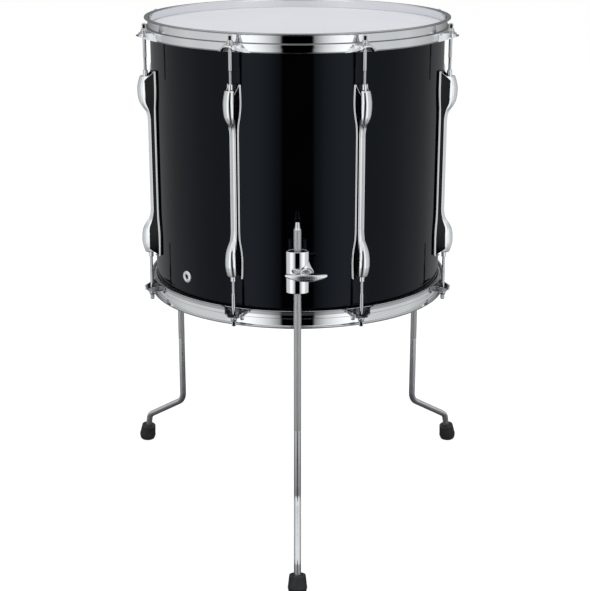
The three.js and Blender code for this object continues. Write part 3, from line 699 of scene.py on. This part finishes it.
def lug_flange(skin):
    """A bright rounded lip along both sides, on a thin dark floor with a narrow foot down to the shell."""
    soft, lip, bevel, foot_in, floor_in, lift, overlap, floor_top = 1.6, 2.0, 0.5, 5.2, 1.2, 0.05, 0.1, 1.3
    for side in (-1, 1):
        rings = []
        for z, w in both_ways(LUG_EDGE, 193):
            section = [(w - lip, LUG_LIP_LOW), (w - bevel, LUG_LIP_LOW),
                       (w - 0.3 * bevel, LUG_LIP_LOW + 0.3 * bevel), (w, LUG_LIP_LOW + bevel)]
            section += [(w - soft + soft * math.sin(t), LUG_LIP_HIGH - soft + soft * math.cos(t))
                        for t in sweep(90, 0, 6)]
            section.append((w - lip, LUG_LIP_HIGH))
            rings.append(side_ring(section, side, z, on_shell))
        skin.loft(rings)
    rings = []
    under, over = LUG_LIP_LOW + overlap, LUG_LIP_LOW + floor_top
    for z, w in both_ways(LUG_EDGE, 97):
        foot, wide = w - foot_in, w - floor_in
        section = [(-foot, lift), (foot, lift), (foot, under), (wide, under), (wide, over), (-wide, over),
                   (-wide, under), (-foot, under)]
        rings.append(side_ring(section, 1, z, on_shell))
    skin.loft(rings, 1)


def lug_web(skin):
    """Two thin side walls between the lips and the bow, dark with painted shade, open and sloping at both
    ends.
    """
    metal, foot_in, head_in, leaning, chamfer, slope = 1.2, 1.7, 0.1, 18.0, 0.25, 0.35
    low_reach = LUG_LIP_HIGH - 2.2
    for side in (-1, 1):
        rings = []
        for z, reach in both_ways(LUG_WALL, 161):
            foot = at_height(LUG_EDGE, z)[0] - foot_in
            head = min(foot, at_height(LUG_BOW, z)[0] - head_in)
            top = foot - (foot - head) / leaning * max(0.0, reach - low_reach)
            section = [(foot - metal, low_reach), (foot, low_reach), (top, reach - slope),
                       (top - chamfer, reach), (top - metal + chamfer, reach), (top - metal, reach - slope)]
            rings.append(side_ring(section, side, z, straight_out))
        # The walls' faces take the painted shade; the faces along their top stay chrome.
        bright = (2, 3, 4) if side > 0 else (0, 1, 2)
        skin.loft(rings, lambda j, i: 0 if i in bright else 1)


def bow_back(x, w, outer, roof):
    """The bow's outer reach at x: a ridge where roof is 1, an arch where it is 0."""
    crown, fall, blunt = 1.15 * w, 0.80, 0.4
    arch = outer - crown + math.sqrt(crown * crown - x * x)
    ridge = outer - fall * (math.hypot(x, blunt) - blunt)
    return ridge * roof + arch * (1 - roof)


def lug_bow(skin):
    """Ridged like a roof at the thin neck, round over the bulbs, with crisp edges."""
    soft, roof_end, roof_fade, steps = 0.5, 96, 14, 26
    rings = []
    for z, w, inner, outer in both_ways(LUG_BOW, 221):
        roof = min(1.0, max(0.0, (roof_end - abs(z)) / roof_fade))
        half = w - soft
        edge = bow_back(half, w, outer, roof)
        corner = [(w, edge - 0.6), (w - 0.06, edge - 0.3), (w - 0.22, edge - 0.1)]
        crest = [half - 2 * half * k / steps for k in range(steps + 1)]
        section = [(-w, inner), (w, inner)] + corner + [(x, bow_back(x, w, outer, roof)) for x in crest]
        section += [(-x, out) for x, out in reversed(corner)]
        rings.append(side_ring(section, 1, z, straight_out))
    skin.loft(rings)


def mounting_screw():
    """A screw through the shell, along Z: round washer, domed head with a round dimple, and the shaft."""
    face, reach = SHELL_IN - 0.35, SHELL_R + 2
    shaft_r, washer_r, thick, head_r, head_tall, dimple, overlap = 2.4, 6.9, 1.4, 4.6, 2.6, 3.1, 0.1
    under, seat = face - thick, face - thick + overlap
    skin = Skin()
    skin.lathe(rounded([(shaft_r, under, 0), (washer_r, under, 0.4), (washer_r, face, 0.3),
                        (shaft_r, face, 0)], steps=3), 32)
    dome = [(head_r * math.cos(t), under - head_tall * math.sin(t)) for t in sweep(60, 0, 3)]
    skin.lathe([(HUB, face - dimple), (0.9, face - dimple), (1.3, under - head_tall)] + dome
               + [(head_r, seat), (HUB, seat)], 24, loop=False)
    skin.lathe([(HUB, face - 1), (shaft_r, face - 1), (shaft_r, reach), (HUB, reach)], 16, loop=False)
    return skin


def lug_mesh():
    """The whole lug, with a swivel nut and a mounting screw at each end."""
    skin = Skin()
    lug_flange(skin)
    lug_web(skin)
    lug_bow(skin)
    tip, root, screw_z = 145.5, 133.0, 104.0
    nut = [(2.7, tip - 9), (2.7, tip - 0.5), (3.1, tip), (3.5, tip), (3.75, tip - 0.35), (3.75, tip - 7.6),
           (4.6, tip - 8.3), (4.6, root), (2.9, root)]
    for side in (-1, 1):
        skin.lathe([(r, side * z) for r, z in nut][::side], 36, centre=(0, -ROD_R))
        skin.add(mounting_screw(), Matrix.Translation((0, 0, side * screw_z)) @ OUTWARDS)
    return mesh_of("bridge_lug", skin, [CHROME, SHADED], 30)


# In the photo the gloss shell hardly mirrors the lugs, so glossy rays don't see them. The two rearmost have
# their turn baked in, because their boxes would otherwise stand out past the drum's.
LUG = lug_mesh()
for i, angle in enumerate(LUG_ANGLES, 1):
    lug = place(f"lug_{i}_visual", LUG, "drum", [f"lug_{i}"], angle, baked=i in (4, 5))
    lug.visible_glossy = False


# Leg brackets, their jaws and wing bolts, in a frame on the leg's axis with the outside towards -Y

ACROSS, DEEP, WALL, LOW, TALL, GRIP = 16.8, 10.5, 2.2, 32.3, 30.6, 21.0
BORE, SEAM = 5.85, 0.32
BOLT_X, BOLT_Z = 12.6, -2.3


def oval_half(front, inset, z, count=40):
    """One half of the barrel's outline, from its left seam to its right seam."""
    a, b = ACROSS - inset, DEEP - inset
    start = math.asin(min(0.99, SEAM / b))
    points = []
    for k in range(count + 1):
        t = math.pi - start - (math.pi - 2 * start) * k / count
        y = b * math.sin(t)
        points.append((a * math.cos(t), -y if front else y, z))
    return points


def half_barrel(skin, front):
    """A thin walled half barrel with rounded rims and a dark lining of painted shade, and the half of the
    grip inside it.
    """
    levels = [(-LOW, 1.3, WALL - 0.25), (-LOW + 0.35, 0.6, WALL), (-LOW + 1.3, 0.0, WALL),
              (TALL - 1.0, 0.0, WALL), (TALL - 0.9, 0.0, WALL), (TALL - 0.45, 0.12, WALL - 0.12),
              (TALL - 0.13, 0.42, WALL - 0.42), (TALL, 0.85, WALL - 0.85)]
    rings = [oval_half(front, outer, z) + oval_half(front, inner, z)[::-1] for z, outer, inner in levels]
    inside = len(rings[0]) // 2
    skin.loft(rings, lambda j, i: 1 if i >= inside and 1 < j < 4 else 0)
    rings = []
    grip_inset = 1.0
    side = -1 if front else 1
    for z in (-GRIP, GRIP):
        bore = [(BORE * math.cos(t), side * max(SEAM, BORE * math.sin(t)), z) for t in sweep(0, 180, 24)]
        rings.append(oval_half(front, grip_inset, z) + bore)
    # The grip's faces are in the painted shade too.
    skin.loft(rings, 1)


def pillow(skin, outline, near, far, soft):
    """A plate seen from outside, from near to far out, its front edge rounded off over the width soft."""
    cx = sum(x for x, _ in outline) / len(outline)
    cz = sum(z for _, z in outline) / len(outline)
    reach = max(abs(x - cx) for x, _ in outline)

    def ring(y, inset):
        k = 1 - inset / reach
        return [(cx + (x - cx) * k, -y, cz + (z - cz) * k) for x, z in outline]

    edge = [ring(far - soft + soft * math.sin(t), soft * (1 - math.cos(t))) for t in sweep(0, 90, 9)]
    skin.loft([ring(near, 0)] + edge)


def jaw_mesh():
    """The barrel's front half, a gusset that flows out of its side, and a domed boss round the bolt."""
    skin = Skin()
    half_barrel(skin, True)
    root_x, root_y = 6.6, 0.35
    gusset = [[-6.4, 19.6, 10.4], [-5.2, 22.4, 11.2], [-3.2, 23.9, 11.5], [2, 24.2, 11.4], [6, 22.6, 10.6],
              [10, 20.2, 9.2], [14, 18.2, 7.4], [18.5, 16.5, 4.0]]
    rings = []
    for z, wide, deep in monotone(gusset, 41):
        corner = [(root_x + (wide - root_x) * math.cos(t), root_y + (deep - root_y) * math.sin(t))
                  for t in sweep(0, 90, 14)]
        rings.append([(x, -y, BOLT_Z + z) for x, y in [(root_x, root_y)] + corner])
    skin.loft(rings)
    boss_half, boss_up, boss_down = 10.2, 9.4, 6.4
    boss = []
    for t in sweep(0, 360, 48)[:-1]:
        tall = boss_up if math.sin(t) > 0 else boss_down
        boss.append((BOLT_X + boss_half * math.cos(t), BOLT_Z + tall * math.sin(t)))
    pillow(skin, boss, 6.6, 13.9, 6.4)
    return mesh_of("clamp_jaw", skin, [CHROME, BARREL_SHADE], 35)


def bracket_mesh():
    """The barrel's rear half, its neck, the pad on the shell, the bolt's socket and two mounting screws."""
    skin = Skin()
    half_barrel(skin, False)
    neck = [(7.5, 11.0, 21.0, 5), (14, 10.4, 20.4, 6), (22, 11.4, 21.6, 6), (26.5, 13.0, 23.0, 6),
            (28.6, 14.0, 24.2, 6)]
    rings = []
    for y, width, tall, corner in neck:
        rings.append([(x, y, z) for x, z in rounded(block(-width, width, -tall, tall, corner), steps=6)])
    skin.loft(rings)
    pad_half, pad_low, pad_high, pad_corner = 16, 31, 25.5, 7
    rings = []
    for depth, inset in ((0.05, 0.0), (3.0, 0.0), (3.7, 0.3), (4.0, 1.0)):
        corners = block(inset - pad_half, pad_half - inset, inset - pad_low, pad_high - inset, pad_corner)
        rings.append([(x, LEG_R + on_shell(x, depth), z) for x, z in rounded(corners, steps=8)])
    skin.loft(rings)
    socket = rounded([(4.7, -11.9, 0.3), (8.4, -11.9, 1.2), (8.4, -0.4, 0.3), (4.7, -0.4, 0.3)], steps=4)
    skin.add(Skin().lathe(socket, 40), Matrix.Translation((BOLT_X, 0, BOLT_Z)) @ OUTWARDS)
    screw_z = 22.0
    for side in (-1, 1):
        skin.add(mounting_screw(), Matrix.Translation((0, LEG_R, side * screw_z)) @ OUTWARDS)
    return mesh_of("leg_bracket", skin, [CHROME, BARREL_SHADE], 35)


def wing_mesh():
    """One smooth bow, flat and full in the middle, round at its tips, on a collar and a screw."""
    seat, end, count = 14.3, 30.3, 36
    bend, tip_bend, tip_from = 0.0030, 0.0060, 9
    half = [[0, 5.5, -0.5, 15.4, 0.42], [7, 5.4, -0.45, 14.6, 0.44], [13, 5.0, -0.1, 12.4, 0.55],
            [19, 4.4, 0.4, 10.6, 0.75], [25, 3.6, 1.0, 9.2, 0.95], [28.2, 2.9, 1.5, 8.0, 1.0],
            [29.6, 2.1, 1.8, 6.6, 1.0], [30.2, 1.0, 2.0, 5.2, 1.0]]
    rings = []
    for x, thick, rise, deep, power in both_ways(half, 121):
        front = end - 0.2 - bend * x * x - tip_bend * max(0.0, abs(x) - tip_from) ** 2
        ring = []
        for k in range(count):
            t = 2 * math.pi * k / count
            c, s = [math.copysign(abs(v) ** power, v) for v in (math.cos(t), math.sin(t))]
            ring.append((x, -(front - deep / 2 + deep / 2 * c), rise + thick * s))
        rings.append(ring)
    hole_r, collar_r, screw_r, screw_in = 3.6, 9.0, 4.0, -9.6
    turned = Skin()
    turned.lathe(rounded([(hole_r, seat, 0), (collar_r, seat, 0.5), (collar_r, seat + 1.6, 0.7),
                          (hole_r, seat + 2.2, 0)], steps=4), 44)
    turned.lathe([(HUB, screw_in), (screw_r - 0.7, screw_in), (screw_r, screw_in + 0.8),
                  (screw_r, seat + 1.5), (HUB, seat + 1.5)], 28, loop=False)
    return mesh_of("wing_bolt", Skin().loft(rings).add(turned, OUTWARDS), [CAST], 30)


JAW, BRACKET, WING = jaw_mesh(), bracket_mesh(), wing_mesh()
AT_BRACKET = Matrix.Translation(Vector((0, -LEG_R, BRACKET_Z)) * MM)
AT_BOLT = Matrix.Translation(Vector((BOLT_X, -LEG_R, BRACKET_Z + BOLT_Z)) * MM)
for side, angle in LEG_ANGLES.items():
    place(f"leg_bracket_{side}_visual", BRACKET, "drum", [f"leg_bracket_{side}"], angle, AT_BRACKET)
    place(f"clamp_jaw_{side}_visual", JAW, f"jaw_{side}", [f"clamp_jaw_{side}"], angle, AT_BRACKET)
    place(f"wing_bolt_{side}_visual", WING, f"wing_{side}", [f"wing_bolt_{side}"], angle, AT_BOLT)


# Legs and feet, in a frame on the leg's axis with heights from the floor

LEG_TOP, KNURL_LOW, BEND_Z, KNEE_Z, KNEE_U, END_U, FOOT_H = 541.9, 219.9, 102.2, 49.5, 88.0, 92.3, 28.0
KNURLED_R, POLISHED_R = 5.5, 5.35
END_LEAN = math.atan2(END_U - KNEE_U, KNEE_Z - FOOT_H)


def bend(corner, before, after, radius, steps=14):
    """The leg's stations round a bend of the rod, between two leans."""
    turn = after - before
    tangent = radius * math.tan(abs(turn) / 2)
    side = math.copysign(1, turn)
    start = (corner[0] - tangent * math.sin(before), corner[1] + tangent * math.cos(before))
    centre = (start[0] + side * radius * math.cos(before), start[1] + side * radius * math.sin(before))
    stations = []
    for i in range(steps + 1):
        lean = before + turn * i / steps
        stations.append((centre[0] - side * radius * math.cos(lean),
                         centre[1] - side * radius * math.sin(lean), lean, POLISHED_R, 1))
    return stations


def leg_path():
    """Stations of reach, height, lean, radius and material, from the top down."""
    run = math.atan2(KNEE_U, BEND_Z - KNEE_Z)
    tip = [(0, 2.6), (0.5, 3.05), (8.2, 3.85), (8.6, 4.1)]
    shoulder, steps, socket = LEG_TOP - 10.8, 12, 18.7
    stations = [(0, LEG_TOP - drop, 0, r, 1) for drop, r in tip]
    stations += [(0, shoulder + (KNURL_LOW - shoulder) * k / steps, 0, KNURLED_R, 0 if k < steps else 1)
                 for k in range(steps + 1)]
    stations.append((0, KNURL_LOW - 0.4, 0, POLISHED_R, 1))
    stations += bend((0, BEND_Z), 0, run, 22)
    stations += bend((KNEE_U, KNEE_Z), run, END_LEAN, 15)
    stations.append((END_U + socket * math.sin(END_LEAN), FOOT_H - socket * math.cos(END_LEAN), END_LEAN,
                     POLISHED_R, 1))
    return stations


def leg_mesh():
    """The bent rod, knurled above and polished below."""
    rings, slots = [], []
    for reach, height, lean, r, slot_index in leg_path():
        ring = [(x, y * math.cos(lean) - reach, height - y * math.sin(lean)) for x, y, _ in circle(r, 0, 40)]
        rings.append(ring[::-1])
        slots.append(slot_index)
    return mesh_of("bent_leg", Skin().loft(rings, slots), [KNURL, SATIN], 30)


def foot_mesh():
    """A rubber foot, dished where the leg goes in and worn flat on the floor."""
    sole, socket_r, socket = -FOOT_H - 1, 5.7, -18.9
    profile = rounded([(HUB, sole, 0), (12.4, sole, 4.6), (14.6, -FOOT_H + 8.6, 5), (13.9, -15.0, 8),
                       (12.3, 0.0, 1.6), (10.2, -0.2, 0.8), (7.0, -2.2, 1.0), (socket_r, -2.4, 0.4),
                       (socket_r, socket, 0.2), (HUB, socket, 0)], closed=False, steps=7)
    lean = Matrix.Translation((0, -END_U, FOOT_H)) @ Matrix.Rotation(-END_LEAN, 4, "X")
    skin = Skin().add(Skin().lathe(profile, 64, loop=False), lean)
    skin.points = [(x, y, max(0.0, z)) for x, y, z in skin.points]
    return mesh_of("rubber_foot", skin, [RUBBER], 40)


LEG, FOOT = leg_mesh(), foot_mesh()
for side, angle in LEG_ANGLES.items():
    stand = Matrix.Translation(Vector((0, -LEG_R * MM, -AXIS.z))) @ about_z(LEG_TWISTS[side])
    place(f"leg_{side}_visual", LEG, f"leg_{side}", [f"leg_{side}"], angle, stand)
    place(f"rubber_foot_{side}_visual", FOOT, f"leg_{side}", [f"rubber_foot_{side}"], angle,
          stand, baked=True)


# The air vent

VENT_ANGLE, VENT_Z = -47.3, 42.5 - HALF


def vent_mesh():
    """A grommet through the wall: a domed rim outside, a tube, and a flange rolled over inside."""
    face, inside, tube_r = SHELL_R + GAP, SHELL_IN - 0.6, 5.2
    rim = [(9.1, 0), (9.3, 0.3), (9.0, 1.1), (8.2, 1.8), (7.0, 2.25), (5.8, 2.35), (4.7, 2.1), (3.9, 1.5),
           (3.45, 0.6), (3.4, -1.0)]
    flange = [(3.4, 2.2), (4.2, 2.4), (6.6, 2.2), (7.6, 1.4), (7.7, 0), (tube_r, 0)]
    profile = [(r, inside - back) for r, back in flange] + [(tube_r, face)]
    profile += [(r, face + out) for r, out in rim]
    skin = Skin().add(Skin().lathe(profile, 56), Matrix.Translation((0, 0, VENT_Z)) @ OUTWARDS)
    return mesh_of("vent_grommet", skin, [CHROME], 45)


place("vent_grommet_visual", vent_mesh(), "drum", ["vent_grommet"], VENT_ANGLE)


# The studio: a pale floor, a white background, soft lamps, and a dim front for the gloss to mirror.
# The windows' brightness is given by degrees round the drum from the front, the same on both sides.

WINDOW_PEAK, WINDOW_TINT = 1.22, (0.98, 0.995, 1.0)
WINDOWS = [(0, 0), (11, 0.0), (12.6, 0.28), (16, 0.48), (20, 0.72), (25, 0.94), (30, 1.12), (35, 1.22),
           (43, 1.22), (48, 0.92), (54, 0.71), (76, 0.68), (90, 0.69), (104, 0.60), (128, 0.50), (145, 0.32),
           (158, 0.24), (170, 0.20)]
SEEN_RAYS = ("Is Camera Ray", "Is Transmission Ray")


def windows(tree, vector):
    """The brightness that gloss mirrors, as a share of the windows' peak, and the height of the direction."""
    split = tree.nodes.new("ShaderNodeSeparateXYZ")
    tree.links.new(vector, split.inputs["Vector"])
    forward = compute(tree, "MULTIPLY", split.outputs["Y"], -1)
    turn = compute(tree, "ABSOLUTE", compute(tree, "ARCTAN2", split.outputs["X"], forward))
    stops = [(a / 180, [v / WINDOW_PEAK * tint for tint in WINDOW_TINT]) for a, v in WINDOWS]
    return colours(tree, compute(tree, "DIVIDE", turn, math.pi), stops), split.outputs["Z"]


def any_of(tree, rays):
    """1 where a ray is of one of the kinds named, else 0."""
    path = tree.nodes.new("ShaderNodeLightPath")
    last = path.outputs[rays[0]]
    for ray in rays[1:]:
        last = compute(tree, "MAXIMUM", last, path.outputs[ray])
    return last


def make_world():
    """What gloss mirrors, what lights matt surfaces, and the white that the camera sees, by kind of ray."""
    world = bpy.data.worlds.new("studio")
    world.use_nodes = True
    bpy.context.scene.world = world
    tree = world.node_tree
    where = tree.nodes.new("ShaderNodeTexCoord")
    side_light, up = windows(tree, where.outputs["Generated"])

    def layer(fac, under, over):
        mix = tree.nodes.new("ShaderNodeMixRGB")
        tree.links.new(fac, mix.inputs["Fac"])
        tree.links.new(under, mix.inputs["Color1"])
        mix.inputs["Color2"].default_value = (*[part / WINDOW_PEAK for part in over], 1)
        return mix.outputs["Color"]

    seen = layer(ramp(tree, up, 0, 1, 0.46, 0.72), side_light, (0.90, 0.92, 0.94))
    seen = layer(any_of(tree, ["Is Diffuse Ray"]), seen, (0.55, 0.55, 0.56))
    seen = layer(any_of(tree, SEEN_RAYS), seen, (1, 1, 1))
    tree.links.new(seen, tree.nodes["Background"].inputs["Color"])
    tree.nodes["Background"].inputs["Strength"].default_value = WINDOW_PEAK


def make_floor():
    """A floor that the camera sees nearly white, and that gloss mirrors as the windows, with a painted shadow
    near the drum.
    """
    mesh = bpy.data.meshes.new("studio_floor")
    size = 9.0
    corners = [(x, y, 0) for x, y, _ in block(-size, size, -size, size, 0)]
    mesh.from_pydata(corners, [], [(0, 1, 2, 3)])
    floor = bpy.data.objects.new("studio_floor", mesh)
    bpy.context.scene.collection.objects.link(floor)
    floor.location = (AXIS.x, AXIS.y, 0)
    material = bpy.data.materials.new("pale_studio_floor")
    material.use_nodes = True
    tree = material.node_tree
    link = tree.links.new
    tree.nodes.remove(tree.nodes["Principled BSDF"])

    def shader(kind, shade, strength=None):
        node = tree.nodes.new(kind)
        if strength is not None:
            node.inputs["Strength"].default_value = strength
        if isinstance(shade, tuple):
            node.inputs["Color"].default_value = shade
        else:
            link(shade, node.inputs["Color"])
        return node.outputs[0]

    def choose(rays, under, over):
        node = tree.nodes.new("ShaderNodeMixShader")
        link(any_of(tree, rays), node.inputs["Fac"])
        link(under, node.inputs[1])
        link(over, node.inputs[2])
        return node.outputs["Shader"]

    where = tree.nodes.new("ShaderNodeTexCoord")
    side_light, _ = windows(tree, where.outputs["Object"])
    # Painted shadow: what gloss mirrors of the floor fades to near black within 0.30 m of the drum's axis,
    # and up to the windows by 1.05 m.
    away = tree.nodes.new("ShaderNodeVectorMath")
    away.operation = "LENGTH"
    link(where.outputs["Object"], away.inputs[0])
    shade = tree.nodes.new("ShaderNodeMixRGB")
    link(ramp(tree, away.outputs["Value"], 0, 1, 0.30, 1.05), shade.inputs["Fac"])
    shade.inputs["Color1"].default_value = (0.06, 0.06, 0.065, 1)
    link(side_light, shade.inputs["Color2"])
    mirrored = shader("ShaderNodeEmission", shade.outputs["Color"], WINDOW_PEAK)
    plain = shader("ShaderNodeBsdfDiffuse", (0.8, 0.8, 0.8, 1))
    seen = tree.nodes.new("ShaderNodeAddShader")
    link(shader("ShaderNodeBsdfDiffuse", (0.34, 0.34, 0.34, 1)), seen.inputs[0])
    link(shader("ShaderNodeEmission", (1, 1, 1, 1), 0.80), seen.inputs[1])
    lit = choose(SEEN_RAYS, plain, seen.outputs["Shader"])
    whole = choose(["Is Glossy Ray"], lit, mirrored)
    link(whole, tree.nodes["Material Output"].inputs["Surface"])
    mesh.materials.append(material)


def lamp(name, size, power, spot, target):
    """A soft lamp that neither the camera nor gloss sees."""
    data = bpy.data.lights.new(name, "AREA")
    data.shape = "RECTANGLE"
    data.size, data.size_y = size
    data.energy = power
    item = bpy.data.objects.new(name, data)
    bpy.context.scene.collection.objects.link(item)
    item.location = AXIS + Vector(spot)
    item.rotation_euler = (Vector(target) - Vector(spot)).to_track_quat("-Z", "Y").to_euler()
    item.visible_glossy = False
    item.visible_camera = False


def make_camera():
    """The camera as solved from the photo, in metres, degrees and photo pixels."""
    away, above_rim, pitch = 2.23592, 0.25258, 17.6104
    film_width, photo_width, focal_pixels, centre_pixels = 36, 590, 1423.69, 2.468
    data = bpy.data.cameras.new("photo_camera")
    camera = bpy.data.objects.new("photo_camera", data)
    bpy.context.scene.collection.objects.link(camera)
    camera.location = AXIS + Vector((0, -away, above_rim + RIM * MM))
    camera.rotation_euler = (math.radians(90 - pitch), 0, 0)
    data.sensor_fit = "HORIZONTAL"
    data.sensor_width = film_width
    data.lens = film_width * focal_pixels / photo_width
    data.shift_x = -centre_pixels / photo_width
    bpy.context.scene.camera = camera


make_world()
make_floor()
lamp("top_softbox", (2.4, 2.4), 26, (0, 0.1, 2.2), (0, 0, 0))
lamp("left_softbox", (1.4, 2.0), 22, (-1.9, -1.5, 0.7), (0, 0, 0))
lamp("right_softbox", (1.4, 2.0), 22, (1.9, -1.5, 0.7), (0, 0, 0))
make_camera()
bpy.context.scene.view_settings.view_transform = "Standard"
